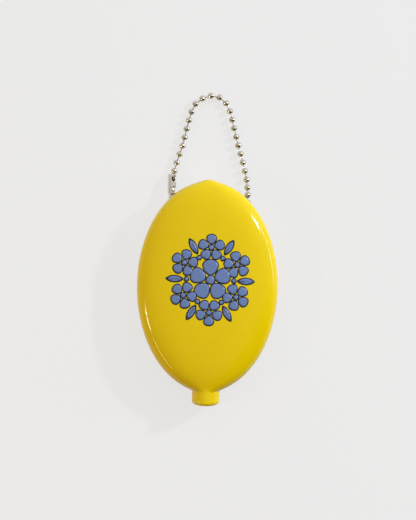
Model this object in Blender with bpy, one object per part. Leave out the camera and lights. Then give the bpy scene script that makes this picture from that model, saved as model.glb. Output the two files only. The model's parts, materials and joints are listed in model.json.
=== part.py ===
"""Squeeze coin case with a ball chain.

A dip-moulded oval case of soft vinyl lies on its slit side. A ball chain runs in and out
of it through two punched holes at the top, and a snap connector closes the chain's loop.
Lengths are in metres. +Z is up from the table to the plain front, +Y points from the
moulding neck to the chain, and the origin is under the middle of the whole object.
"""

import math

import bmesh
import bpy
from mathutils import Matrix, Vector

# Case
case_width = 0.0510
upper_length = 0.0379  # from the widest line up to the round of the top
lower_length = 0.0382  # from the widest line down to where the oval would close
tip_rise = 0.0007  # the point that the dip leaves at the top
tip_reach = 0.0055
tip_round_share = 1.3  # exponent of the point's flanks
case_height = 0.0140
case_wall = 0.0016
rim_height = 0.0066  # the widest line above the table
back_flat = 0.0005  # depth that the flat back takes off the round
end_round_share = 4.2  # exponent of the case's height along its length
edge_round_share = 0.8  # what the edge's exponent adds to an ellipse's 2
neck_blend_share = 4.0  # exponent that runs the oval into the neck
case_sections = 27
case_sides = 40
cavity_sections = 21
cavity_sides = 32

# Neck, left by the stem of the dipping mould
neck_diameter = 0.0100
neck_length = 0.00524
neck_lip = 0.0011  # how far the round of the open end reaches
neck_lip_share = 0.74  # radius of the end face as a share of the neck's
neck_lip_steps = 2
neck_bow = 0.0008  # how far the middle of the cut end stands out past its sides

# Slit in the back, with a lip on each side
slit_length = 0.0480
slit_shift = -0.00205  # the slit's middle from the oval's
lip_width = 0.0110
fold_length = 0.0320  # where each lip bends from the case
lip_gap = 0.0003
lip_inset = 0.0003  # the lips rest this much inside the flat back
lip_round = 0.0004

# Holes for the chain
hole_diameter = 0.0034
hole_side_share = 0.5392  # the hole's middle across, as a share of the half width
hole_offset = 0.0004  # the pair sits a little to the right of the case's middle
hole_inset = 0.0008  # the hole's middle from the outline, along the case
hole_height = 0.0050
hole_slope = math.radians(24.0)

# Ball chain
bead_diameter = 0.00235
bead_wall = 0.000225
bead_hole = 0.0012
bead_pitch = 0.0032
link_wire = 0.00052
head_catch = 0.00006  # how far a link's head overlaps the rim of the hole that holds it
head_play = 0.0001  # between the head and the inside of the bead
head_neck = 0.00022  # from the head's widest ring to the wire
head_back = 0.0003  # from the head's widest ring to its far end
loop_share = 2.8  # the loop's length as a share of the distance between the holes
hole_play = 0.0001  # left between a bead and the edge of its hole, low left and high right
bead_stand = 0.00275  # the last bead's centre from the middle of the right hole
mouth_depth = 0.0018  # how far past each hole the chain runs straight in
mouth_shift = 0.0003  # and how far in from the wall it is by then, at the left hole
hidden_depth = 0.0100  # how deep it hangs inside, before it is fitted to whole links
hidden_steps = 12
table_clearance = 0.00002
bead_sides = 10
outer_steps = 4
inner_steps = 3
shoulder_angle = math.radians(45.0)
end_angle = math.radians(15.0)
fold_count = 10  # hinge lines across the loop, each through a bead of either leg

# Connector
connector_length = 0.0078
connector_wall = 0.0003
connector_clearance = 0.0001
connector_seats = 0.0040  # from one seated bead to the other
connector_slot = 0.0018
connector_slot_depth = 0.00038  # past the axis, towards the closed side
connector_rise = math.radians(13.0)
scallop_diameter = 0.0026
scallop_offset = 0.0011
connector_gap = 0.0023  # from the case's outline to the lower bead, along the chain
round_sides = 24

# One overrun for every cut, and the fold from which an edge is shaded sharp
overrun = 0.0010
crease_angle = math.radians(40.0)

# Left leg, top and right leg of the chain's loop, each point as a share of the loop's
# width and of its height above the right-hand hole
arch_shares = [
    (0.057, 0.320), (0.130, 0.490), (0.184, 0.667), (0.249, 0.846), (0.332, 0.945),
    (0.500, 1.000), (0.655, 0.962), (0.748, 0.850), (0.802, 0.690), (0.862, 0.512),
    (0.929, 0.330), (0.985, 0.150),
]

case_top = upper_length + tip_rise
slit_middle = (upper_length - lower_length) / 2 + slit_shift
neck_end = -(lower_length + neck_length)
arch_links = round(loop_share * hole_side_share * case_width / bead_pitch)
bead_radius = bead_diameter / 2
table_bead = bead_radius + table_clearance
seat_half = bead_radius + connector_clearance
connector_half = seat_half + connector_wall


def clear_scene():
    for item in list(bpy.data.objects):
        bpy.data.objects.remove(item, do_unlink=True)


def material(name, colour, roughness, metallic):
    made = bpy.data.materials.new(name)
    made.use_nodes = True
    shader = made.node_tree.nodes["Principled BSDF"]
    shader.inputs["Base Color"].default_value = (*colour, 1.0)
    shader.inputs["Roughness"].default_value = roughness
    shader.inputs["Metallic"].default_value = metallic
    return made


def vinyl():
    return material("yellow_vinyl", (0.80, 0.62, 0.03), 0.22, 0.0)


def nickel():
    return material("nickel_plated_steel", (0.66, 0.63, 0.58), 0.20, 1.0)


def origin_of(carrier):
    """Where an empty stands in the case's frame."""
    return carrier.location + origin_of(carrier.parent) if carrier.parent else Vector()


def attach(item, place, parent):
    """Hangs an item on an empty, at its place in the case's frame."""
    item.parent = parent
    item.matrix_basis = Matrix.Translation(-origin_of(parent)) @ place


def add_empty(name, parent=None, point=Vector()):
    """An empty that carries the pieces which move together."""
    carrier = bpy.data.objects.new(name, None)
    bpy.context.scene.collection.objects.link(carrier)
    if parent:
        attach(carrier, Matrix.Translation(point), parent)
    return carrier


def add_object(name, mesh, parent, finish=None, place=Matrix()):
    """Adds a mesh under its name. Round faces are shaded smooth and folds stay sharp."""
    item = bpy.data.objects.new(name, mesh)
    bpy.context.scene.collection.objects.link(item)
    attach(item, place, parent)
    if finish:
        mesh.materials.append(finish)
    mesh.shade_smooth()
    mesh.set_sharp_from_angle(angle=crease_angle)
    return item


def add_cutter(name, mesh, parent, place=Matrix()):
    item = add_object(name, mesh, parent, place=place)
    item.hide_render = True
    item.display_type = "WIRE"
    return item


def cut(target, cutter):
    step = target.modifiers.new("cut_" + cutter.name, "BOOLEAN")
    step.operation = "DIFFERENCE"
    step.object = cutter


def mesh_of(builder, name):
    """Closes a bmesh into a mesh with its faces pointing out."""
    bmesh.ops.recalc_face_normals(builder, faces=builder.faces)
    mesh = bpy.data.meshes.new(name)
    builder.to_mesh(mesh)
    builder.free()
    return mesh


def loft(name, rings):
    """Skins a row of equal rings of points and caps both ends."""
    builder = bmesh.new()
    rows = [[builder.verts.new(point) for point in ring] for ring in rings]
    for low, high in zip(rows, rows[1:]):
        for i in range(len(low)):
            j = (i + 1) % len(low)
            builder.faces.new((low[i], low[j], high[j], high[i]))
    builder.faces.new(rows[0])
    builder.faces.new(rows[-1])
    return mesh_of(builder, name)


def extrude_outline(name, outline, bottom, top):
    builder = bmesh.new()
    face = builder.faces.new([builder.verts.new((x, y, bottom)) for x, y in outline])
    swept = bmesh.ops.extrude_face_region(builder, geom=[face])
    raised = [part for part in swept["geom"] if isinstance(part, bmesh.types.BMVert)]
    bmesh.ops.translate(builder, verts=raised, vec=(0, 0, top - bottom))
    return mesh_of(builder, name)


def cylinder(name, radius, length, sides=round_sides):
    """A cylinder along Z, centred on its own middle."""
    builder = bmesh.new()
    bmesh.ops.create_cone(
        builder, cap_ends=True, segments=sides, radius1=radius, radius2=radius, depth=length
    )
    return mesh_of(builder, name)


def box(name, low, high):
    outline = [(low[0], low[1]), (high[0], low[1]), (high[0], high[1]), (low[0], high[1])]
    return extrude_outline(name, outline, low[2], high[2])


def outline_y(x, inset=0.0):
    """Height of the case's upper outline above the widest line, at x from the middle."""
    reach = case_width / 2 - inset
    round_part = (upper_length - inset) * math.sqrt(max(0.0, 1 - (x / reach) ** 2))
    return round_part + tip_rise * max(0.0, 1 - abs(x) / tip_reach) ** tip_round_share


def oval_half_width(y, inset):
    """Half of the oval's width at y, without the neck."""
    reach = case_width / 2 - inset
    if y <= 0:
        return reach * math.sqrt(max(0.0, 1 - (y / (lower_length - inset)) ** 2))
    low, high = 0.0, reach
    for _ in range(40):
        middle = (low + high) / 2
        if outline_y(middle, inset) > y:
            low = middle
        else:
            high = middle
    return low


def blend_with_neck(full, share, neck):
    """A size that is full where share is 1 and runs into the neck's radius where it is 0."""
    power = neck_blend_share
    return ((full**power - neck**power) * share**power + neck**power) ** (1 / power)


def section(y, inset, sides):
    """One closed section of the case at y, the wall's inside where inset is the wall."""
    neck = neck_diameter / 2 - inset if y < 0 else 0.0
    width = oval_half_width(y, inset)
    end = (case_top if y > 0 else lower_length) - inset
    fullness = max(0.0, 1 - abs(y / end) ** end_round_share) ** (1 / end_round_share)
    power = 2 + edge_round_share * width**2 / (width**2 + (neck_diameter / 2) ** 2)
    half_width = blend_with_neck(case_width / 2 - inset, width / (case_width / 2 - inset), neck)
    ring = []
    for i in range(sides):
        angle = 2 * math.pi * i / sides
        rise = case_height - rim_height if math.sin(angle) > 0 else rim_height + back_flat
        height = blend_with_neck(rise - inset, fullness, neck)
        across = abs(math.cos(angle)) ** (2 / power)
        up = abs(math.sin(angle)) ** (2 / power)
        x = math.copysign(half_width * across, math.cos(angle))
        z = rim_height + math.copysign(height * up, math.sin(angle))
        ring.append(Vector((x, y, max(z, inset))))
    return ring


def stations(inset, count):
    """Places of the sections from the neck's root to the tip, closer where the ends turn."""
    low = -(lower_length - inset)
    high = case_top - inset
    steps = [math.pi * (i + 0.5) / count for i in range(count)]
    return [(low + high) / 2 - (high - low) / 2 * math.cos(step) for step in steps]


def neck_end_ring(step):
    """One ring of the neck's rounded open end, bowed out in the middle."""
    turn = math.pi / 2 * step / neck_lip_steps
    share = neck_lip_share + (1 - neck_lip_share) * math.sin(turn)
    y = neck_end + neck_lip * (1 - math.cos(turn))
    axis = Vector((0, y, rim_height))
    ring = [axis + (point - axis) * share for point in section(y, 0.0, case_sides)]
    for point in ring:
        point.y += neck_bow * (point.x / (neck_diameter / 2)) ** 2
    return ring


def case_outside():
    rings = [neck_end_ring(step) for step in range(neck_lip_steps + 1)]
    rings += [section(y, 0.0, case_sides) for y in stations(0.0, case_sections)]
    return loft("case", rings)


def case_inside():
    rings = [section(neck_end - overrun, case_wall, cavity_sides)]
    rings += [section(y, case_wall, cavity_sides) for y in stations(case_wall, cavity_sections)]
    return loft("cavity", rings)


def lip_outline(side, gap):
    """The lip's outline: slit edge, fold line and the two slanting ends."""
    slit = slit_length / 2
    fold = fold_length / 2
    near = gap * side
    far = (lip_width - gap) * side
    trim = gap * (slit - fold) / lip_width
    outline = [
        (near, slit_middle - slit + gap), (far, slit_middle - fold + trim),
        (far, slit_middle + fold - trim), (near, slit_middle + slit - gap),
    ]
    return outline if side > 0 else outline[::-1]


def window_outline():
    """The opening in the back that the two lips fill."""
    slit = slit_length / 2
    fold = fold_length / 2
    right = [(lip_width, slit_middle - fold), (lip_width, slit_middle + fold)]
    left = [(-x, y) for x, y in reversed(right)]
    return [(0.0, slit_middle - slit), *right, (0.0, slit_middle + slit), *left]


def hole_place(side):
    """Where a chain hole's axis starts outside the case: it runs inwards and upwards."""
    x = hole_offset + side * hole_side_share * case_width / 2
    centre = Vector((x, outline_y(x) - hole_inset, hole_height))
    return centre, Vector((0, -math.cos(hole_slope), math.sin(hole_slope)))


def build_case(root, finish):
    case = add_object("case", case_outside(), root, finish)
    cut(case, add_cutter("cavity", case_inside(), root))
    for name, side in (("hole_left", -1), ("hole_right", 1)):
        centre, axis = hole_place(side)
        length = 2 * (case_wall + hole_diameter / 2 + overrun)
        turn = axis.to_track_quat("Z", "Y").to_matrix().to_4x4()
        mesh = cylinder(name, hole_diameter / 2, length)
        cut(case, add_cutter(name, mesh, root, Matrix.Translation(centre) @ turn))
    depth = case_wall + overrun
    window = extrude_outline("window", window_outline(), -overrun, depth)
    cut(case, add_cutter("window", window, root))


def build_lip(name, side, root, finish):
    """A flap of the back wall. Its origin is on the fold, on the outer face."""
    fold = Vector((side * lip_width, slit_middle, lip_inset))
    outline = [(x - fold.x, y - fold.y) for x, y in lip_outline(side, lip_gap / 2)]
    mesh = extrude_outline(name, outline, 0.0, case_wall)
    lip = add_object(name, mesh, root, finish, Matrix.Translation(fold))
    rounding = lip.modifiers.new("cut_edge", "BEVEL")
    rounding.width = lip_round
    rounding.segments = 2
    rounding.limit_method = "ANGLE"


def smooth_route(points, steps=24):
    """A Catmull-Rom curve through the points, as a close row of points."""
    ends = [2 * points[0] - points[1], *points, 2 * points[-1] - points[-2]]
    route = []
    for a, b, c, d in zip(ends, ends[1:], ends[2:], ends[3:]):
        for i in range(steps):
            t = i / steps
            route.append(
                0.5 * (2 * b + (c - a) * t + (2 * a - 5 * b + 4 * c - d) * t**2
                       + (3 * b - a - 3 * c + d) * t**3)
            )
    route.append(points[-1])
    for point in route:
        point.z = max(point.z, table_bead)
    return route


def step_along(route, count):
    """Bead centres one exact pitch apart along a route, and how far past its end they go."""
    last = route[-1]
    end_index = len(route) - 1
    beyond = (last - route[-2]).normalized() * bead_pitch / 2
    route = [*route, *[last + beyond * (i + 1) for i in range(2 * count)]]
    beads = [route[0]]
    index = 0
    for _ in range(count):
        here = beads[-1]
        while (route[index + 1] - here).length < bead_pitch:
            index += 1
        start, end = route[index], route[index + 1]
        low, high = 0.0, 1.0
        for _ in range(40):
            middle = (low + high) / 2
            if (start.lerp(end, middle) - here).length < bead_pitch:
                low = middle
            else:
                high = middle
        beads.append(start.lerp(end, low))
    reach = (beads[-1] - last).length
    return beads, reach if index >= end_index else -reach


def fit_route(make_route, count, low, high):
    """Finds the size at which a whole number of links fits the route, and its beads."""
    for _ in range(50):
        middle = (low + high) / 2
        beads, passed = step_along(smooth_route(make_route(middle)), count)
        if passed > 0:
            low = middle
        else:
            high = middle
    return beads


def seated_beads():
    """Centres of the chain's two end beads, held in the connector."""
    x = hole_place(-1)[0].x
    half = connector_length / 2 * math.sin(connector_rise)
    middle_z = connector_half / math.cos(connector_rise) + half + table_clearance
    rise = Vector((0, -math.cos(connector_rise), math.sin(connector_rise)))
    lower_y = outline_y(x) + connector_gap
    lower = Vector((x, lower_y, middle_z + rise.z * connector_seats / 2))
    return lower - rise * connector_seats, lower


def near_hole_beads(lower):
    """The first bead past the connector, in the left hole, and the last one at the right."""
    play = (hole_diameter - bead_diameter) / 2 - hole_play
    left = hole_place(-1)[0]
    left.z -= play
    right, axis = hole_place(1)
    right.z += play
    return lower + (left - lower).normalized() * bead_pitch, right - axis * bead_stand


def hidden_route(first, last, depth):
    """Inside the case the chain hangs in half an ellipse and sags to the lips."""
    axis = hole_place(1)[1]
    entry = first + axis * mouth_depth + Vector((mouth_shift, 0, 0))
    leave = last + axis * (bead_stand + mouth_depth)
    floor = case_wall + lip_inset + table_bead
    points = [first]
    for i in range(hidden_steps + 1):
        turned = math.pi * i / hidden_steps
        point = entry.lerp(leave, (1 - math.cos(turned)) / 2)
        point.y -= depth * math.sin(turned)
        point.z += (floor - point.z) * math.sin(turned) ** 2
        points.append(point)
    return [*points, last]


def arch_route(last, upper, height):
    """Outside, the loop lies on the table."""
    route = [last]
    for x, y in reversed(arch_shares):
        across = upper.x + (last.x - upper.x) * x
        route.append(Vector((across, last.y + height * y, table_bead)))
    return [*route, upper]


def lay_chain():
    """Centres of every bead in order: seated end, through the case, round the loop."""
    upper, lower = seated_beads()
    first, last = near_hole_beads(lower)
    span = last.x - upper.x
    hanging = smooth_route(hidden_route(first, last, hidden_depth))
    length = sum((b - a).length for a, b in zip(hanging, hanging[1:]))
    hidden = fit_route(
        lambda depth: hidden_route(first, last, depth), round(length / bead_pitch), 0.0, span
    )
    loop = fit_route(lambda height: arch_route(last, upper, height), arch_links, 0.0, span * 3)
    return [lower, *hidden[:-1], *loop[:-1], upper]


def ring_of(turn, along, radius):
    """A ring of points round the bead's X axis, turned as a whole about the bead's centre."""
    points = []
    for i in range(bead_sides):
        angle = 2 * math.pi * i / bead_sides
        points.append(turn @ Vector((along, radius * math.cos(angle), radius * math.sin(angle))))
    return points


def link_rings(turn):
    """The link from its far end back to the bead: a head that the next bead holds, and wire."""
    head = bead_hole / 2 + head_catch
    inner = (bead_radius - bead_wall) * math.cos(math.pi / bead_sides) ** 2 - head_play
    seat = bead_pitch - math.sqrt(max(0.0, inner**2 - head**2))
    wire = link_wire / 2
    return [
        ring_of(turn, seat + head_back, head / 2),
        ring_of(turn, seat + head_back / 2, head),
        ring_of(turn, seat, head),
        ring_of(turn, seat - head_neck, wire),
        ring_of(turn, math.sqrt(bead_radius**2 - wire**2), wire),
    ]


def shell_rings(first_angle):
    """The hollow bead: outside from the link's side to the hole, and back along the inside."""
    straight = Matrix.Identity(3)
    inner = bead_radius - bead_wall
    outer_edge = math.pi - math.asin(bead_hole / 2 / bead_radius)
    inner_edge = math.pi - math.asin(bead_hole / 2 / inner)
    rings = []
    for i in range(outer_steps + 1):
        angle = first_angle + (outer_edge - first_angle) * i / outer_steps
        rings.append(ring_of(straight, bead_radius * math.cos(angle), bead_radius * math.sin(angle)))
    for i in range(inner_steps):
        angle = inner_edge * (1 - i / inner_steps)
        rings.append(ring_of(straight, inner * math.cos(angle), inner * math.sin(angle)))
    return rings


def bead_mesh(name, link):
    """One bead with the link that leaves it, as a single turned surface with a bend in it."""
    if link is None:
        rings = shell_rings(end_angle)
    else:
        turn = Vector((1, 0, 0)).rotation_difference(link).to_matrix()
        rings = link_rings(turn) + shell_rings(shoulder_angle)
    return loft(name, rings)


def bead_frame(centre, along):
    """A bead's place: X along its own bore, Z as near up as it can be."""
    x = along.normalized()
    y = Vector((0, 0, 1)).cross(x).normalized()
    turn = Matrix((x, y, x.cross(y))).transposed()
    return Matrix.Translation(centre) @ turn.to_4x4()


def build_bead(name, beads, index, parent, finish):
    """A bead lies halfway between the directions of the links on its two sides."""
    centre = beads[index]
    arriving = (centre - beads[index - 1]).normalized() if index > 0 else None
    leaving = (beads[index + 1] - centre).normalized() if index < len(beads) - 1 else None
    along = (arriving or leaving) + (leaving or arriving)
    frame = bead_frame(centre, along)
    link = frame.to_3x3().transposed() @ leaving if leaving else None
    add_object(name, bead_mesh(name, link), parent, finish, frame)


def trough_outline(radius, reach):
    """Half round on the closed side, straight out to reach on the open side."""
    turns = [2 * math.pi * i / round_sides for i in range(round_sides // 2 + 1)]
    back = [(-radius * math.sin(turned), radius * math.cos(turned)) for turned in turns]
    return [(reach, radius), *back, (reach, -radius)]


def build_connector(upper, lower, parent, finish):
    """A trough pressed from sheet, open to the right, with slotted ends and scalloped arms."""
    x = Vector((1, 0, 0))
    z = (upper - lower).normalized()
    place = Matrix((x, z.cross(x), z)).transposed().to_4x4()
    place.translation = (upper + lower) / 2
    half = connector_length / 2
    shell = extrude_outline("connector", trough_outline(connector_half, connector_half), -half, half)
    connector = add_object("connector", shell, parent, finish, place)
    reach = connector_half + overrun
    end = half - connector_wall
    trough = extrude_outline("trough", trough_outline(seat_half, reach), -end, end)
    cut(connector, add_cutter("trough", trough, parent, place))
    slot = connector_slot / 2
    slots = box("end_slots", (-connector_slot_depth, -slot, -half - overrun),
                (reach, slot, half + overrun))
    cut(connector, add_cutter("end_slots", slots, parent, place))
    upright = Matrix.Rotation(math.pi / 2, 4, "X")
    for name, side in (("scallop_lower", -1), ("scallop_upper", 1)):
        centre = Matrix.Translation((scallop_offset, 0, side * connector_seats / 2))
        mesh = cylinder(name, scallop_diameter / 2, 2 * reach)
        cut(connector, add_cutter(name, mesh, parent, place @ centre @ upright))


def build_chain(beads, root, finish):
    """Beads threaded through the case, and the loop above them in folding levels."""
    last = len(beads) - 1
    right = last - arch_links
    for i in range(1, right):
        build_bead(f"inner_bead_{i:02d}", beads, i, root, finish)
    level = root
    for step in range(fold_count):
        left = 1 if step == 0 else last + 1 - step
        ahead = right if step == 0 else right + 1 + step
        level = add_empty(f"fold_{step + 1:02d}", level, (beads[left] + beads[ahead]) / 2)
        if step == 0:
            build_bead("end_bead_lower", beads, 0, level, finish)
            build_bead("end_bead_upper", beads, last, level, finish)
            build_connector(beads[last], beads[0], level, finish)
            held = [ahead, ahead + 1]
        elif step < fold_count - 1:
            held = [left - 1, ahead]
        else:
            held = range(ahead, left)
        for i in held:
            build_bead(f"loop_bead_{i - right + 1:02d}", beads, i, level, finish)


def build_all():
    beads = lay_chain()
    top = max(bead.y for bead in beads) + bead_radius
    root = add_empty("coin_case")
    yellow = vinyl()
    build_case(root, yellow)
    build_lip("lip_left", -1, root, yellow)
    build_lip("lip_right", 1, root, yellow)
    build_chain(beads, root, nickel())
    root.location.y = -(top + neck_end) / 2


clear_scene()
build_all()
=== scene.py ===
"""Squeeze coin case of soft vinyl with a looped ball chain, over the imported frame."""

import json
import math

import bmesh
import bpy
from mathutils import Matrix, Vector


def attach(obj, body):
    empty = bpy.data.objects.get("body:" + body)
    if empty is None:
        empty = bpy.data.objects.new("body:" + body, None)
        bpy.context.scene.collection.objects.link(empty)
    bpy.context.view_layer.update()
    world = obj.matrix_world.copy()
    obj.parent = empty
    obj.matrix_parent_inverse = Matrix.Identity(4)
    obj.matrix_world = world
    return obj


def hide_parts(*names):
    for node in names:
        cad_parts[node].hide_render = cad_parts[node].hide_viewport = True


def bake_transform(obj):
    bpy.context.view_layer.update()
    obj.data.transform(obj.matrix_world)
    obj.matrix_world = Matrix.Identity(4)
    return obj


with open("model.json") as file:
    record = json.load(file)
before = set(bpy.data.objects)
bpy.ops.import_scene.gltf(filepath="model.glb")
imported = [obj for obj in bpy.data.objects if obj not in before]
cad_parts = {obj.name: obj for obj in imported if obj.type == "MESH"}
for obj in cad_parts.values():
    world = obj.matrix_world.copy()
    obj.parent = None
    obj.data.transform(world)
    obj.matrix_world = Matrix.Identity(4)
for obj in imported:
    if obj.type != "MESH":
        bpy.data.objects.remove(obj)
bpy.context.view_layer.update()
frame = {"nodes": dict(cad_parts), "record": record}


# Camera. It looks straight down on the case, which lies on its slit back, as in the photograph.
# The long lens stands far off, so that the sides of the case hardly show.
lens_mm = 300.0
sensor_mm = 36.0
pixel_size = 0.000362
photo_height = 520
view_centre = Vector((0.000112, -0.003983, 0.0066))
view_turn = math.radians(0.86)

photo_camera = bpy.data.cameras.new("photo_camera")
photo_camera.lens = lens_mm
photo_camera.sensor_width = sensor_mm
camera = bpy.data.objects.new("photo_camera", photo_camera)
stand_off = lens_mm / sensor_mm * photo_height * pixel_size
camera.location = view_centre + Vector((0, 0, stand_off))
camera.rotation_euler = (0, 0, view_turn)
bpy.context.scene.collection.objects.link(camera)
bpy.context.scene.camera = camera
bpy.context.scene.view_settings.view_transform = "Standard"


# Case. One shell of soft PVC, dipped hot on a polished mould and pulled off over its neck, so its
# outside is glossy and without a seam. The chain holes and the slit in the back are cut afterwards.
case_width = 0.0510
upper_length = 0.0379
lower_length = 0.0382
tip_rise = 0.00068
tip_reach = 0.0048
tip_round = 0.0009
tip_power = 1.3
case_height = 0.0140
rim_height = 0.0066
back_flat = 0.0005
back_softening = 0.00015
case_wall = 0.0016
ellipse_power = 2
side_fullness = 0.8
end_power = 4.2
neck_radius = 0.0050
neck_length = 0.00524
neck_power = 4
neck_fillet = 0.0023
neck_lip = 0.0011
neck_face_radius = 0.0037
neck_bow = 0.0008
widest_line = -0.013396
case_top = upper_length + tip_rise
neck_end = -(lower_length + neck_length)


def oval_half_width(y, inset):
    """Half of the oval's width at y above its widest line, without the neck."""
    reach = case_width / 2 - inset
    if y <= 0:
        return reach * math.sqrt(max(0.0, 1 - (y / (lower_length - inset)) ** 2))
    low, high = 0.0, reach
    halvings = 30
    for _ in range(halvings):
        x = (low + high) / 2
        round_part = (upper_length - inset) * math.sqrt(max(0.0, 1 - (x / reach) ** 2))
        from_tip = math.hypot(x, tip_round) - tip_round
        if round_part + tip_rise * max(0.0, 1 - from_tip / tip_reach) ** tip_power > y:
            low = x
        else:
            high = x
    return low


def into_neck(full, share, neck):
    """A size that is full where share is 1 and runs into the neck's radius where it is 0."""
    spread = full**neck_power - neck**neck_power
    return (spread * share**neck_power + neck**neck_power) ** (1 / neck_power)


def case_section(y, inset):
    """Half width, rise above the rim, depth below it, and squareness of the section at y."""
    neck = neck_radius - inset if y < 0 else 0.0
    reach = case_width / 2 - inset
    width = oval_half_width(y, inset)
    end = (case_top if y > 0 else lower_length) - inset
    from_end = max(0.0, end - abs(y))
    if y < 0:
        from_end = math.hypot(from_end, neck_fillet) - neck_fillet
    fullness = (1 - (1 - from_end / end) ** end_power) ** (1 / end_power)
    squareness = ellipse_power + side_fullness * width**2 / (width**2 + neck_radius**2)
    rise = into_neck(case_height - rim_height - inset, fullness, neck)
    depth = into_neck(rim_height + back_flat - inset, fullness, neck)
    return into_neck(reach, width / reach, neck), rise, depth, squareness


def case_point(y, inset, turn):
    """The point of the section at y that lies at a turn round it, with the back cut flat."""
    half_width, rise, depth, squareness = case_section(y, inset)
    across, up = math.cos(turn), math.sin(turn)
    radius = (abs(across) ** squareness + abs(up) ** squareness) ** (-1 / squareness)
    z = rim_height + (rise if up > 0 else depth) * up * radius
    over = z - inset
    if over < -back_softening:
        z = inset
    elif over < back_softening:
        z = inset + (over + back_softening) ** 2 / (4 * back_softening)
    return Vector((half_width * across * radius, y, z))


outside_rows = 140
inside_rows = 70
neck_rows = 8
lip_rows = 9
mouth_rows = 4
bore_rows = 4


def case_rows():
    """(y, inset) from the tip down the outside, round the neck's mouth and back up inside."""
    rows = []
    top, bottom = case_top, -lower_length
    for step in range(outside_rows + 1):
        turn = math.pi * step / outside_rows
        rows.append(((top + bottom) / 2 + (top - bottom) / 2 * math.cos(turn), 0.0))
    for step in range(1, neck_rows + 1):
        rows.append((bottom + (neck_end + neck_lip - bottom) * step / neck_rows, 0.0))
    face_inset = neck_radius - neck_face_radius
    for step in range(1, lip_rows + 1):
        turn = math.pi / 2 * step / lip_rows
        inwards = face_inset * (1 - math.cos(turn))
        rows.append((neck_end + neck_lip * (1 - math.sin(turn)), inwards))
    mouth_round = case_wall - face_inset
    for step in range(1, mouth_rows + 1):
        turn = math.pi / 2 * step / mouth_rows
        inwards = face_inset + mouth_round * math.sin(turn)
        rows.append((neck_end + mouth_round * (1 - math.cos(turn)), inwards))
    top, bottom = case_top - case_wall, -(lower_length - case_wall)
    start = neck_end + mouth_round
    for step in range(1, bore_rows + 1):
        rows.append((start + (bottom - start) * step / bore_rows, case_wall))
    for step in range(1, inside_rows + 1):
        turn = math.pi * step / inside_rows
        rows.append(((top + bottom) / 2 - (top - bottom) / 2 * math.cos(turn), case_wall))
    return rows


crease_angle = math.radians(40)


def piece_from(name, mesh_maker, body, *nodes, slot):
    """Turns a finished bmesh into a smooth-shaded piece that rides on a body."""
    mesh = bpy.data.meshes.new(name)
    mesh_maker.to_mesh(mesh)
    mesh_maker.free()
    mesh.shade_smooth()
    mesh.set_sharp_from_angle(angle=crease_angle)
    piece = bpy.data.objects.new(name, mesh)
    bpy.context.scene.collection.objects.link(piece)
    if body:
        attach(piece, body)
    if nodes:
        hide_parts(*nodes)
    return piece


def cutter_from(name, shape):
    """Turns a finished bmesh into an object that only serves to cut."""
    mesh = bpy.data.meshes.new(name)
    shape.to_mesh(mesh)
    shape.free()
    cutter = bpy.data.objects.new(name, mesh)
    bpy.context.scene.collection.objects.link(cutter)
    return cutter


def take_away(piece, cutters):
    """Cuts each cutter's shape out of the piece and keeps the result as its mesh."""
    for cutter in cutters:
        step = piece.modifiers.new("cut_" + cutter.name, "BOOLEAN")
        step.operation = "DIFFERENCE"
        step.solver = "EXACT"
        step.object = cutter
    graph = bpy.context.evaluated_depsgraph_get()
    cut_mesh = bpy.data.meshes.new_from_object(piece.evaluated_get(graph))
    piece.modifiers.clear()
    piece.data = cut_mesh
    for cutter in cutters:
        bpy.data.objects.remove(cutter)
    cut_mesh.shade_smooth()
    cut_mesh.set_sharp_from_angle(angle=crease_angle)


sides_round = 168
merge_distance = 1e-6
rows = case_rows()
shell = bmesh.new()
bmesh.ops.create_grid(shell, x_segments=sides_round, y_segments=len(rows) - 1, size=1.0)
for vert in shell.verts:
    y, inset = rows[round((1 - vert.co.y) / 2 * (len(rows) - 1))]
    point = case_point(y, inset, math.pi * vert.co.x)
    if y < -lower_length:
        out = min(1.0, (y + lower_length) / (neck_end + neck_lip + lower_length))
        point.y += neck_bow * out * (point.x / neck_radius) ** 2
    point.y += widest_line
    vert.co = point
bmesh.ops.remove_doubles(shell, verts=shell.verts, dist=merge_distance)
bmesh.ops.recalc_face_normals(shell, faces=shell.faces)
case_shell = piece_from("case_shell", shell, "case", "case", slot="vinyl")

hole_diameter = 0.0034
hole_middle = 0.0004
hole_spread = 0.5392 * case_width / 2
hole_inset = 0.0008
hole_height = 0.0050
hole_slope = math.radians(24)
hole_sides = 48
punch_length = 0.0086

cutters = []
for name, side in (("left", -1), ("right", 1)):
    x = hole_middle + side * hole_spread
    reach = upper_length * math.sqrt(1 - (x / (case_width / 2)) ** 2)
    start = Vector((x, reach - hole_inset + widest_line, hole_height))
    inwards = Vector((0, -math.cos(hole_slope), math.sin(hole_slope)))
    turn = inwards.to_track_quat("Z", "Y").to_matrix().to_4x4()
    punch = bmesh.new()
    bmesh.ops.create_cone(punch, cap_ends=True, segments=hole_sides, radius1=hole_diameter / 2,
                          radius2=hole_diameter / 2, depth=punch_length,
                          matrix=Matrix.Translation(start) @ turn)
    cutters.append(cutter_from("punch_" + name, punch))

slit_middle = -0.0022 + widest_line
opening_half_width = 0.0122
opening_half_length = 0.0246
middle_half_length = 0.0060
cut_below = 0.0010
cut_above = 0.0008


def pulled_up(shape, face, height):
    """Extrudes a face straight up into a closed block."""
    grown = bmesh.ops.extrude_face_region(shape, geom=[face])
    raised = [item for item in grown["geom"] if isinstance(item, bmesh.types.BMVert)]
    bmesh.ops.translate(shape, verts=raised, vec=(0, 0, height))
    bmesh.ops.recalc_face_normals(shape, faces=shape.faces)


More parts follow.
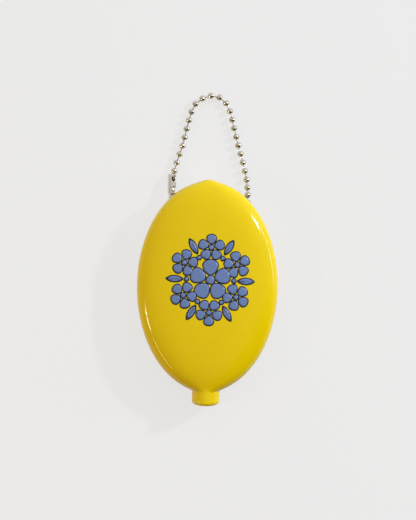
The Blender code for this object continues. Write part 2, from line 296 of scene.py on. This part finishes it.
opening = bmesh.new()
corners = [(0, -opening_half_length), (opening_half_width, -middle_half_length),
           (opening_half_width, middle_half_length), (0, opening_half_length),
           (-opening_half_width, middle_half_length), (-opening_half_width, -middle_half_length)]
corners = [opening.verts.new((x, slit_middle + y, -cut_below)) for x, y in corners]
pulled_up(opening, opening.faces.new(corners), cut_below + case_wall + cut_above)
cutters.append(cutter_from("back_opening", opening))
take_away(case_shell, cutters)


def linear(hex_colour):
    """An sRGB hex colour as the linear values that the shaders take."""
    parts = [int(hex_colour[i:i + 2], 16) / 255 for i in (1, 3, 5)]
    bright = [p / 12.92 if p <= 0.04045 else ((p + 0.055) / 1.055) ** 2.4 for p in parts]
    return (*bright, 1.0)


def add_node(tree, kind, settings=None, inputs=None, links=None):
    """Adds a node, sets its options and sockets, and links other nodes' outputs into it."""
    node = tree.nodes.new(kind)
    for name, value in (settings or {}).items():
        setattr(node, name, value)
    for name, value in (inputs or {}).items():
        node.inputs[name].default_value = value
    for name, (source, output) in (links or {}).items():
        tree.links.new(source.outputs[output], node.inputs[name])
    return node


# Dip-moulded PVC plastisol, coloured through: a clear bright yellow with faint clouds 17 mm wide,
# orange where the wall is thin or shaded. Its glossy skin has a dipped coat's ripple, 2.2 mm long.
clouds_per_metre = 60.0
ripples_per_metre = 450.0
vinyl = bpy.data.materials.new("dip_moulded_pvc_gloss")
vinyl.use_nodes = True
tree = vinyl.node_tree
skin = tree.nodes["Principled BSDF"]
place = add_node(tree, "ShaderNodeTexCoord")
cloud = add_node(tree, "ShaderNodeTexNoise",
                 inputs={"Scale": clouds_per_metre, "Detail": 2.0, "Roughness": 0.5},
                 links={"Vector": (place, "Object")})
tint = add_node(tree, "ShaderNodeMix", {"data_type": "RGBA"},
                inputs={6: linear("#E4CB00"), 7: linear("#EAD209")}, links={0: (cloud, "Fac")})
tree.links.new(tint.outputs[2], skin.inputs["Base Color"])
ripple = add_node(tree, "ShaderNodeTexNoise",
                  inputs={"Scale": ripples_per_metre, "Detail": 1.0, "Roughness": 0.4},
                  links={"Vector": (place, "Object")})
relief = add_node(tree, "ShaderNodeBump", inputs={"Strength": 0.25, "Distance": 0.00003},
                  links={"Height": (ripple, "Fac")})
tree.links.new(relief.outputs["Normal"], skin.inputs["Normal"])
skin.inputs["Roughness"].default_value = 0.11
skin.inputs["IOR"].default_value = 1.53
skin.inputs["Specular IOR Level"].default_value = 0.26
skin.inputs["Subsurface Weight"].default_value = 0.25
skin.inputs["Subsurface Radius"].default_value = (1.0, 0.55, 0.05)
skin.inputs["Subsurface Scale"].default_value = 0.0012
case_shell.data.materials.clear()
case_shell.data.materials.append(vinyl)


# Lips. The back is slit down its middle, and squeezing the ends bows the two edges apart. The soft
# wall round the slit is drawn flat, in a middle panel and two corners a side.
slit_gap = 0.00003
slit_edge_round = 0.0003
slit_edge_steps = 3
bend_step = 0.0008
bend_reach_across = 0.0125
bend_reach_along = 0.0250
same_place = 1e-7


def lip_panel(name, side, outline):
    """A flat panel of the back wall beside the slit, its slit edge rounded and its face cut into a
    fine grid.
    """
    panel = bmesh.new()
    points = outline if side > 0 else outline[::-1]
    base = [panel.verts.new((side * x, slit_middle + y, 0)) for x, y in points]
    pulled_up(panel, panel.faces.new(base), case_wall)
    slit_edges = [edge for edge in panel.edges
                  if all(abs(abs(v.co.x) - slit_gap / 2) < same_place for v in edge.verts)
                  and abs(edge.verts[0].co.z - edge.verts[1].co.z) < same_place]
    bmesh.ops.bevel(panel, geom=slit_edges, offset=slit_edge_round, segments=slit_edge_steps,
                    profile=0.5, affect="EDGES", material=-1)
    for axis, low, high in ((0, -bend_reach_across, bend_reach_across),
                            (1, slit_middle - bend_reach_along, slit_middle + bend_reach_along)):
        normal = Vector((axis == 0, axis == 1, 0))
        for step in range(int((high - low) / bend_step) + 1):
            where = normal * (low + step * bend_step)
            geometry = [*panel.verts, *panel.edges, *panel.faces]
            bmesh.ops.bisect_plane(panel, geom=geometry, plane_co=where, plane_no=normal,
                                   dist=same_place)
    node = "lip_left" if side < 0 else "lip_right"
    piece = piece_from(name, panel, None, node, slot="vinyl")
    piece.data.materials.append(vinyl)
    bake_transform(piece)


def across_corner(sign):
    """From the corner panel's slanting edge, straight across it to the slit's middle panel."""
    along = Vector((-opening_half_width, sign * (opening_half_length - middle_half_length)))
    square = Vector((along.y, -along.x)).normalized()
    centre = Vector((0.0, sign * middle_half_length))
    edge_point = Vector((opening_half_width, sign * middle_half_length))
    reach = (edge_point - centre).dot(square)
    return centre + square * reach, centre


for name, side in (("left", -1), ("right", 1)):
    near = slit_gap / 2
    wide, long, middle = opening_half_width, opening_half_length, middle_half_length
    outline = [(near, -middle), (wide, -middle), (wide, middle), (near, middle)]
    lip_panel(f"lip_{name}_middle", side, outline)
    slant = long - (long - middle) * near / wide
    for end_name, sign in (("upper", 1), ("lower", -1)):
        corner = [(near, sign * middle), (wide, sign * middle), (near, sign * slant)]
        start, end = across_corner(sign)
        outline = corner if sign > 0 else corner[::-1]
        lip_panel(f"lip_{name}_{end_name}", side, outline)


# Chain. Hollow beads pressed from nickel-plated steel strip, joined by short wire links that swivel
# in the beads' holes. The chain runs through the case and out of the two holes into a loop.
bead_radius = 0.001175
bead_wall = 0.000225
bead_hole_radius = 0.00060
rim_round = 0.00006
bead_steps = 32
outer_steps = 16
inner_steps = 8
wire_radius = 0.00022
wire_sides = 20
wire_sink = 0.25 * bead_radius
wire_stop = 0.35 * bead_radius
taut_share = 0.66
link_reach = 0.0031
link_past_ball = 1.5 * bead_radius
link_head_size = 2 * wire_radius
fit_bands = (0.3, 0.2, 0.12, 0.08, 0.04, 0.02, 0.01)
fit_floor = 1e-9


def bead_centre(node):
    """The middle of the ball in a CAD node, found from the points that lie on its round outside."""
    points = [vert.co.copy() for vert in node.data.vertices]
    centre = sum(points, Vector()) / len(points)
    tip = max(points, key=lambda point: (point - centre).length)
    if (tip - centre).length > link_past_ball:
        head = [point for point in points if (point - tip).length < link_head_size]
        head = sum(head, Vector()) / len(head)
        centre = head - (head - centre).normalized() * link_reach
    # Each pass fits the ball to the points near its surface, in a narrower band than the last.
    for band in fit_bands:
        pull, stiffness = Vector(), Matrix.Diagonal((fit_floor, fit_floor, fit_floor))
        for point in points:
            arm = point - centre
            miss = arm.length - bead_radius
            if abs(miss) < band * bead_radius:
                arm.normalize()
                pull += arm * miss
                stiffness += Matrix([[a * b for b in arm] for a in arm])
        centre += stiffness.inverted() @ pull
    return centre


def bead_profile():
    """Half section of the hollow bead: outside, round the hole's rim, and back along the inside."""
    inner = bead_radius - bead_wall
    points = []
    low = math.asin((bead_hole_radius + rim_round) / bead_radius)
    for step in range(outer_steps + 1):
        turn = low + (math.pi - 2 * low) * step / outer_steps
        points.append((bead_radius * math.cos(turn), bead_radius * math.sin(turn)))
    rim = math.sqrt(bead_radius**2 - bead_hole_radius**2) - rim_round
    points.append((-rim, bead_hole_radius))
    low = math.asin(bead_hole_radius / inner)
    for step in range(inner_steps + 1):
        turn = math.pi - low - (math.pi - 2 * low) * step / inner_steps
        points.append((inner * math.cos(turn), inner * math.sin(turn)))
    points.append((rim, bead_hole_radius))
    return points


def turned_bead(shape, centre, along):
    """Turns the bead's half section once round its bore, which points along the chain."""
    turn = along.to_track_quat("X", "Z").to_matrix()
    corners = [shape.verts.new(centre + turn @ Vector((x, 0, r))) for x, r in bead_profile()]
    edges = [shape.edges.new(pair) for pair in zip(corners, corners[1:] + corners[:1])]
    bmesh.ops.spin(shape, geom=[*corners, *edges], cent=centre, axis=turn @ Vector((1, 0, 0)),
                   angle=math.tau, steps=bead_steps, use_merge=True, use_duplicate=False)


def link_wire(shape, start, stop):
    """The wire between two beads, from inside the first through both holes into the second."""
    along = (stop - start).normalized()
    turn = along.to_track_quat("Z", "Y").to_matrix().to_4x4()
    first, last = start + along * wire_sink, stop - along * wire_stop
    bmesh.ops.create_cone(shape, cap_ends=True, segments=wire_sides, radius1=wire_radius,
                          radius2=wire_radius, depth=(last - first).length,
                          matrix=Matrix.Translation((first + last) / 2) @ turn)


chain_order = ["end_bead_lower", *[f"inner_bead_{i:02d}" for i in range(1, 15)],
               *[f"loop_bead_{i:02d}" for i in range(1, 25)], "end_bead_upper"]
centres = [bead_centre(frame["nodes"][name]) for name in chain_order]
bodies_of = {node: body for body, nodes in frame["record"]["behaviour"]["bodies"].items()
             for node in nodes}

# Bright nickel plate over pressed steel: a faintly warm grey mirror that thousands of turns against
# its neighbours have dulled a little. The rubbing marks are drawn 0.4 mm apart, because the real
# ones, under 0.1 mm, wouldn't show.
rubs_per_metre = 2500.0
nickel = bpy.data.materials.new("nickel_plated_steel_bright")
nickel.use_nodes = True
tree = nickel.node_tree
plate = tree.nodes["Principled BSDF"]
place = add_node(tree, "ShaderNodeTexCoord")
rubs = add_node(tree, "ShaderNodeTexNoise",
                inputs={"Scale": rubs_per_metre, "Detail": 2.0, "Roughness": 0.6},
                links={"Vector": (place, "Object")})
dulling = add_node(tree, "ShaderNodeMapRange", inputs={"To Min": 0.06, "To Max": 0.15},
                   links={"Value": (rubs, "Fac")})
tree.links.new(dulling.outputs["Result"], plate.inputs["Roughness"])
tone = add_node(tree, "ShaderNodeMix", {"data_type": "RGBA"},
                inputs={6: linear("#BDB7A8"), 7: linear("#D8D3C8")}, links={0: (rubs, "Fac")})
tree.links.new(tone.outputs[2], plate.inputs["Base Color"])
plate.inputs["Metallic"].default_value = 1.0

# The bead that turns in the connector's upper mouth: its plate is painted dark, as painted shade
# for the shadowed seat round it.
shaded_seat_nickel = nickel.copy()
shaded_seat_nickel.name = "nickel_plated_steel_painted_shade"
for node in shaded_seat_nickel.node_tree.nodes:
    if node.bl_idname == "ShaderNodeMix":
        node.inputs[6].default_value = linear("#433D32")
        node.inputs[7].default_value = linear("#625A4B")

for index, name in enumerate(chain_order):
    before = centres[max(index - 1, 0)]
    after = centres[min(index + 1, len(centres) - 1)]
    centre = centres[index]
    along_in = (centre - before).normalized() * taut_share
    along_out = (after - centre).normalized() * (1 - taut_share)
    shape = bmesh.new()
    turned_bead(shape, centre, along_in + along_out)
    if index < len(centres) - 1:
        link_wire(shape, centre, after)
    bmesh.ops.recalc_face_normals(shape, faces=shape.faces)
    bead = piece_from(name + "_plated", shape, bodies_of[name], name, slot="nickel")
    # The upper end bead takes the darker copy, with the painted shade of its seat.
    bead.data.materials.append(shaded_seat_nickel if name == "end_bead_upper" else nickel)


# Snap connector. A trough of pressed nickel-plated steel: a bead is pushed in at each end of its
# open side, past the pinched arms, and its link leaves through the slot in the end.
sleeve_length = 0.0077
sleeve_wall = 0.0003
sleeve_outside = 0.001575
sleeve_slot = 0.0018
sleeve_slot_depth = 0.00038
slot_cut_length = 1.3 * sleeve_length
arm_reach = 0.00145
arm_scallop = 0.0026
scallop_offset = 0.0011
scallop_cut_length = 4 * sleeve_outside
scallop_sides = 64
seat_spacing = 0.0040
edge_round = 0.00006
end_round = 0.00045
back_steps = 28
end_steps = 4


def trough_shape(radius, reach, half, round_ends):
    """A bar with a half round back and straight sides, open side along X, as long as 2 * half."""
    shape = bmesh.new()
    back = shape.verts.new((0, radius, -half))
    bmesh.ops.spin(shape, geom=[back], cent=(0, 0, 0), axis=(0, 0, 1), angle=math.pi,
                   steps=back_steps, use_duplicate=False)
    outline = sorted(shape.verts, key=lambda vert: math.atan2(vert.co.y, -vert.co.x))
    outline = [shape.verts.new((reach, -radius, -half)), *outline,
               shape.verts.new((reach, radius, -half))]
    pulled_up(shape, shape.faces.new(outline), 2 * half)
    loose = [edge for edge in shape.edges if not edge.link_faces]
    bmesh.ops.delete(shape, geom=loose, context="EDGES")
    rims = [edge for edge in shape.edges
            if abs(edge.verts[0].co.z - edge.verts[1].co.z) < same_place]
    bmesh.ops.bevel(shape, geom=rims, offset=round_ends, segments=end_steps, profile=0.5,
                    affect="EDGES", material=-1)
    return shape


lower_seat, upper_seat = centres[0], centres[-1]
open_side = Vector((1, 0, 0))
length_way = (upper_seat - lower_seat).normalized()
axes = Matrix((open_side, length_way.cross(open_side), length_way))
sleeve_place = axes.transposed().to_4x4()
sleeve_place.translation = (upper_seat + lower_seat) / 2

sleeve_shape = trough_shape(sleeve_outside, arm_reach, sleeve_length / 2, end_round)
bmesh.ops.transform(sleeve_shape, matrix=sleeve_place, verts=sleeve_shape.verts)
sleeve = piece_from("connector_sleeve", sleeve_shape, "connector", "connector", slot="nickel")
hollow = trough_shape(sleeve_outside - sleeve_wall, sleeve_outside * 2,
                      sleeve_length / 2 - sleeve_wall, end_round - sleeve_wall)
bmesh.ops.transform(hollow, matrix=sleeve_place, verts=hollow.verts)
slots = bmesh.new()
bmesh.ops.create_cube(slots, size=1.0)
slot_size = (sleeve_outside * 2, sleeve_slot, slot_cut_length)
bmesh.ops.scale(slots, vec=slot_size, verts=slots.verts)
bmesh.ops.translate(slots, vec=(sleeve_outside - sleeve_slot_depth, 0, 0), verts=slots.verts)
bmesh.ops.transform(slots, matrix=sleeve_place, verts=slots.verts)
cutters = [cutter_from("trough_hollow", hollow), cutter_from("end_slots", slots)]
for name, sign in (("lower", -1), ("upper", 1)):
    scallop = bmesh.new()
    at = Matrix.Translation((scallop_offset, 0, sign * seat_spacing / 2))
    bmesh.ops.create_cone(scallop, cap_ends=True, segments=scallop_sides,
                          radius1=arm_scallop / 2, radius2=arm_scallop / 2,
                          depth=scallop_cut_length,
                          matrix=sleeve_place @ at @ Matrix.Rotation(math.pi / 2, 4, "X"))
    cutters.append(cutter_from("arm_scallop_" + name, scallop))
take_away(sleeve, cutters)

# Pressed strip under the same plate, rolled a little duller than a bead. Its colour is painted
# paler than a bead's, as painted light that brightens the sleeve.
sleeve_nickel_painted_light = nickel.copy()
sleeve_nickel_painted_light.name = "nickel_plated_steel_painted_light"
for node in sleeve_nickel_painted_light.node_tree.nodes:
    if node.bl_idname == "ShaderNodeMapRange":
        node.inputs["To Min"].default_value = 0.16
        node.inputs["To Max"].default_value = 0.26
    if node.bl_idname == "ShaderNodeMix":
        node.inputs[6].default_value = linear("#D3CFC8")
        node.inputs[7].default_value = linear("#E2DFD9")
# The sleeve takes the paler copy, with its painted light.
sleeve.data.materials.clear()
sleeve.data.materials.append(sleeve_nickel_painted_light)
soft_edges = sleeve.modifiers.new("pressed_edges", "BEVEL")
soft_edges.width = edge_round
soft_edges.segments = 2
soft_edges.limit_method = "ANGLE"
soft_edges.angle_limit = math.radians(50)


# Print. A blossom pattern screened on the front in blue ink over a dark key line. The ink stands
# less than a tenth of a millimetre above the vinyl and follows its curve.
key_line = 0.00042
ink_rise = 0.00002
ink_step = 0.0007
same_ink_place = 1e-8
grains_per_metre = 3000.0
ink_reach_left = -0.0160
ink_reach_right = 0.0180
ink_reach_along = 0.0180
print_middle = Vector((0.0010, widest_line + 0.0022))
print_half_width = 0.0148
print_half_length = 0.0158
middle_blossom = 0.0076
middle_turn = 0.3
ring_count = 6
ring_turn = 0.5
ring_blossom = 0.0050
ring_blossom_share = 0.74
ring_leaf = 0.0066
ring_leaf_share = 0.87
ring_bud = 0.00105
ring_bud_share = 0.575
petal_points = 40
petal_start = 0.20
petal_fullness = 0.66
petal_swell = 0.25
petal_lift = 0.02
blossom_middle = 0.24
leaf_points = 32
leaf_half_width = 0.21
leaf_tip_inset = 2.2
leaf_tip_power = 0.4
leaf_vein = ((-0.30, -0.02), (0.28, 0.0), (-0.30, 0.02))


def front_height(x, y):
    """Height of the case's front face over (x, y)."""
    half_width, rise, _, squareness = case_section(y - widest_line, 0.0)
    inside = max(0.0, 1 - abs(x / half_width) ** squareness)
    return rim_height + rise * inside ** (1 / squareness)


def ink_shape(ink, outline, layer):
    """A closed outline filled with ink, flat until the whole print is laid on the front."""
    ink.faces.new([ink.verts.new((point.x, point.y, ink_rise * layer)) for point in outline])


def petal_outline(centre, turn, near, far, half_width, inset=0.0):
    """A rounded petal from near to far along its turn, drawn in by inset all round."""
    middle, reach = (near + far) / 2, (far - near) / 2 - inset
    spin = Matrix.Rotation(turn, 2)
    points = []
    for step in range(petal_points):
        angle = math.tau * step / petal_points
        swell = 1 + petal_swell * math.cos(angle)
        x = middle + reach * math.cos(angle)
        y = (half_width * swell - inset) * math.sin(angle)
        points.append(centre + spin @ Vector((x, y)))
    return points


def bud(line, fill, centre, radius, turn):
    """A round middle or a loose bud, blue inside a dark line, over what lies under it."""
    ink_shape(line, petal_outline(centre, turn, -radius, radius, radius), 3)
    ink_shape(fill, petal_outline(centre, turn, -radius, radius, radius, inset=key_line), 4)


def blossom(line, fill, centre, radius, turn, petals=5):
    """Petals round a middle, each blue inside its own dark line."""
    half_width = radius * petal_fullness * math.sin(math.pi / petals)
    for petal in range(petals):
        angle = turn + math.tau * petal / petals
        petal_place = (centre, angle, radius * petal_start, radius, half_width)
        ink_shape(line, petal_outline(*petal_place), 1 + petal * petal_lift)
        ink_shape(fill, petal_outline(*petal_place, inset=key_line), 2)
    bud(line, fill, centre, radius * blossom_middle, turn)


def leaf(line, fill, centre, length, turn):
    """A pointed leaf with a dark vein along its middle."""
    spin = Matrix.Rotation(turn, 2)
    for ink, shrink, layer in ((line, 0.0, 1), (fill, key_line, 2)):
        reach = length / 2 - shrink * leaf_tip_inset
        half_width = length * leaf_half_width - shrink
        points = []
        for step in range(leaf_points):
            angle = math.tau * step / leaf_points
            wide = half_width * math.sin(angle) * abs(math.sin(angle)) ** leaf_tip_power
            points.append(centre + spin @ Vector((reach * math.cos(angle), wide)))
        ink_shape(ink, points, layer)
    ink_shape(line, [centre + spin @ (Vector(point) * length) for point in leaf_vein], 3)


def out_from_middle(angle):
    """From the print's middle to its oval edge at an angle."""
    return Vector((math.cos(angle) * print_half_width, math.sin(angle) * print_half_length))


line_ink, fill_ink = bmesh.new(), bmesh.new()
blossom(line_ink, fill_ink, print_middle, middle_blossom, middle_turn)
for step in range(ring_count):
    angle = math.tau * step / ring_count + ring_turn
    spot = print_middle + out_from_middle(angle) * ring_blossom_share
    blossom(line_ink, fill_ink, spot, ring_blossom, angle)
    angle += math.pi / ring_count
    spot = print_middle + out_from_middle(angle) * ring_leaf_share
    leaf(line_ink, fill_ink, spot, ring_leaf, angle)
    spot = print_middle + out_from_middle(angle) * ring_bud_share
    bud(line_ink, fill_ink, spot, ring_bud, angle)

for name, ink, colour in (("print_key_line", line_ink, "#23283A"),
                          ("print_blue", fill_ink, "#6884BE")):
    low_end, high_end = print_middle.y - ink_reach_along, print_middle.y + ink_reach_along
    for axis, low, high in ((0, ink_reach_left, ink_reach_right), (1, low_end, high_end)):
        normal = Vector((axis == 0, axis == 1, 0))
        for step in range(int((high - low) / ink_step)):
            geometry = [*ink.verts, *ink.edges, *ink.faces]
            bmesh.ops.bisect_plane(ink, geom=geometry, plane_co=normal * (low + step * ink_step),
                                   plane_no=normal, dist=same_ink_place)
    for vert in ink.verts:
        vert.co.z += front_height(vert.co.x, vert.co.y)
    piece = piece_from(name, ink, "case", slot="vinyl")
    body_of_ink = piece.modifiers.new("ink_body", "SOLIDIFY")
    body_of_ink.thickness = ink_rise * 2
    body_of_ink.offset = -1
    # Screen ink: a flat even film, less glossy than the vinyl. The slight grain that the screen's
    # mesh leaves is drawn 0.33 mm wide, because the real 0.1 mm wouldn't show.
    film = bpy.data.materials.new("screen_ink_" + name.split("_", 1)[1])
    film.use_nodes = True
    tree = film.node_tree
    coat = tree.nodes["Principled BSDF"]
    place = add_node(tree, "ShaderNodeTexCoord")
    grain = add_node(tree, "ShaderNodeTexNoise",
                     inputs={"Scale": grains_per_metre, "Detail": 1.0},
                     links={"Vector": (place, "Object")})
    level = add_node(tree, "ShaderNodeMapRange", inputs={"To Min": 0.94, "To Max": 1.06},
                     links={"Value": (grain, "Fac")})
    shade = add_node(tree, "ShaderNodeHueSaturation", inputs={"Color": linear(colour)},
                     links={"Value": (level, "Result")})
    tree.links.new(shade.outputs["Color"], coat.inputs["Base Color"])
    coat.inputs["Roughness"].default_value = 0.3
    coat.inputs["IOR"].default_value = 1.5
    coat.inputs["Specular IOR Level"].default_value = 0.3
    piece.data.materials.append(film)


# Table. A plain pale sheet that takes a soft shadow. It is clear from below and lets the room's
# light up to the case, so that the back and its slit can be looked at.
table_half = 0.6
table_gap = 0.00005
own_tone_share = 0.82
table_shape = bmesh.new()
bmesh.ops.create_grid(table_shape, x_segments=1, y_segments=1, size=table_half)
bmesh.ops.translate(table_shape, verts=table_shape.verts, vec=(0, 0, -table_gap))
table_mesh = bpy.data.meshes.new("table")
table_shape.to_mesh(table_mesh)
table_shape.free()
table = bpy.data.objects.new("table", table_mesh)
bpy.context.scene.collection.objects.link(table)
table.visible_diffuse = False

# Matt card: four fifths of what the camera and the metal see of it is its own even pale tone, and
# the rest is lit by the lamps, so the shadow of the case stays on it.
paper = bpy.data.materials.new("pale_matt_card")
paper.use_nodes = True
tree = paper.node_tree
sheet = tree.nodes["Principled BSDF"]
sheet.inputs["Base Color"].default_value = linear("#ECF0F8")
sheet.inputs["Roughness"].default_value = 0.9
sheet.inputs["Specular IOR Level"].default_value = 0.0
glow = add_node(tree, "ShaderNodeEmission", inputs={"Color": linear("#EDEDED"), "Strength": 1.0})
seen = add_node(tree, "ShaderNodeLightPath")
mirrored = add_node(tree, "ShaderNodeMath", {"operation": "MAXIMUM"},
                    links={0: (seen, "Is Glossy Ray"), 1: (seen, "Is Transmission Ray")})
either = add_node(tree, "ShaderNodeMath", {"operation": "MAXIMUM"},
                  links={0: (seen, "Is Camera Ray"), 1: (mirrored, 0)})
share = add_node(tree, "ShaderNodeMath", {"operation": "MULTIPLY"}, inputs={1: own_tone_share},
                 links={0: (either, 0)})
lit = add_node(tree, "ShaderNodeMixShader",
               links={0: (share, 0), 1: (sheet, "BSDF"), 2: (glow, "Emission")})
below = add_node(tree, "ShaderNodeNewGeometry")
clear = add_node(tree, "ShaderNodeBsdfTransparent")
one_way = add_node(tree, "ShaderNodeMixShader",
                   links={0: (below, "Backfacing"), 1: (lit, "Shader"), 2: (clear, "BSDF")})
tree.links.new(one_way.outputs["Shader"], tree.nodes["Material Output"].inputs["Surface"])
table.data.materials.append(paper)


# Light. A pale room, white and bright past the tip of the case, dim and warm past its neck, with
# a dark doorway low on the neck's right for the beads to mirror. A small key lamp and a broad dim
# panel stand on the right, and two thin warm strips on the left.
bright_way = (0.3, 0.95, 0.0)
doorway_way = (0.60, -0.66, 0.45)
room = bpy.data.worlds.new("studio")
room.use_nodes = True
bpy.context.scene.world = room
tree = room.node_tree
air = tree.nodes["Background"]
way = add_node(tree, "ShaderNodeTexCoord")
sideways = add_node(tree, "ShaderNodeVectorMath", {"operation": "DOT_PRODUCT"},
                    inputs={1: bright_way}, links={0: (way, "Generated")})
lean = add_node(tree, "ShaderNodeMapRange", inputs={"From Min": -0.8, "From Max": 0.8},
                links={"Value": (sideways, "Value")})
air_tone = add_node(tree, "ShaderNodeMix", {"data_type": "RGBA"},
                    inputs={6: linear("#FFDDB2"), 7: linear("#FFFFFF")},
                    links={0: (lean, "Result")})
tree.links.new(air_tone.outputs[2], air.inputs["Color"])
level = add_node(tree, "ShaderNodeMapRange", inputs={"To Min": 0.26, "To Max": 0.93},
                 links={"Value": (lean, "Result")})
doorway = add_node(tree, "ShaderNodeVectorMath", {"operation": "DOT_PRODUCT"},
                   inputs={1: doorway_way}, links={0: (way, "Generated")})
unlit = add_node(tree, "ShaderNodeMapRange",
                 inputs={"From Min": 0.70, "From Max": 0.84, "To Min": 1.0, "To Max": 0.04},
                 links={"Value": (doorway, "Value")})
room_light = add_node(tree, "ShaderNodeMath", {"operation": "MULTIPLY"},
                      links={0: (level, "Result"), 1: (unlit, "Result")})
tree.links.new(room_light.outputs[0], air.inputs["Strength"])

lamp_distance = 1.0
case_centre = Vector((0, widest_line, rim_height))


def softbox(name, bearing, elevation, width, height, watts, colour):
    """A rectangular lamp that faces the middle of the case from a bearing counted from +X."""
    lamp = bpy.data.lights.new(name, "AREA")
    lamp.shape = "RECTANGLE"
    lamp.size = width
    lamp.size_y = height
    lamp.energy = watts
    lamp.color = linear(colour)[:3]
    holder = bpy.data.objects.new(name, lamp)
    turn, tilt = math.radians(bearing), math.radians(elevation)
    level_out = math.cos(tilt)
    way_out = Vector((math.cos(turn) * level_out, math.sin(turn) * level_out, math.sin(tilt)))
    holder.location = case_centre + way_out * lamp_distance
    holder.rotation_euler = way_out.to_track_quat("Z", "Y").to_euler()
    bpy.context.scene.collection.objects.link(holder)


softbox("key_softbox", bearing=28, elevation=28, width=0.07, height=0.05, watts=5.4,
        colour="#FFFFFF")
softbox("side_panel", bearing=18, elevation=13, width=0.60, height=0.08, watts=1.6,
        colour="#FFFFFF")
softbox("fill_strip", bearing=193, elevation=30, width=0.13, height=0.014, watts=1.4,
        colour="#FFE8C0")
softbox("low_strip", bearing=214, elevation=30, width=0.34, height=0.010, watts=0.9,
        colour="#FFD898")
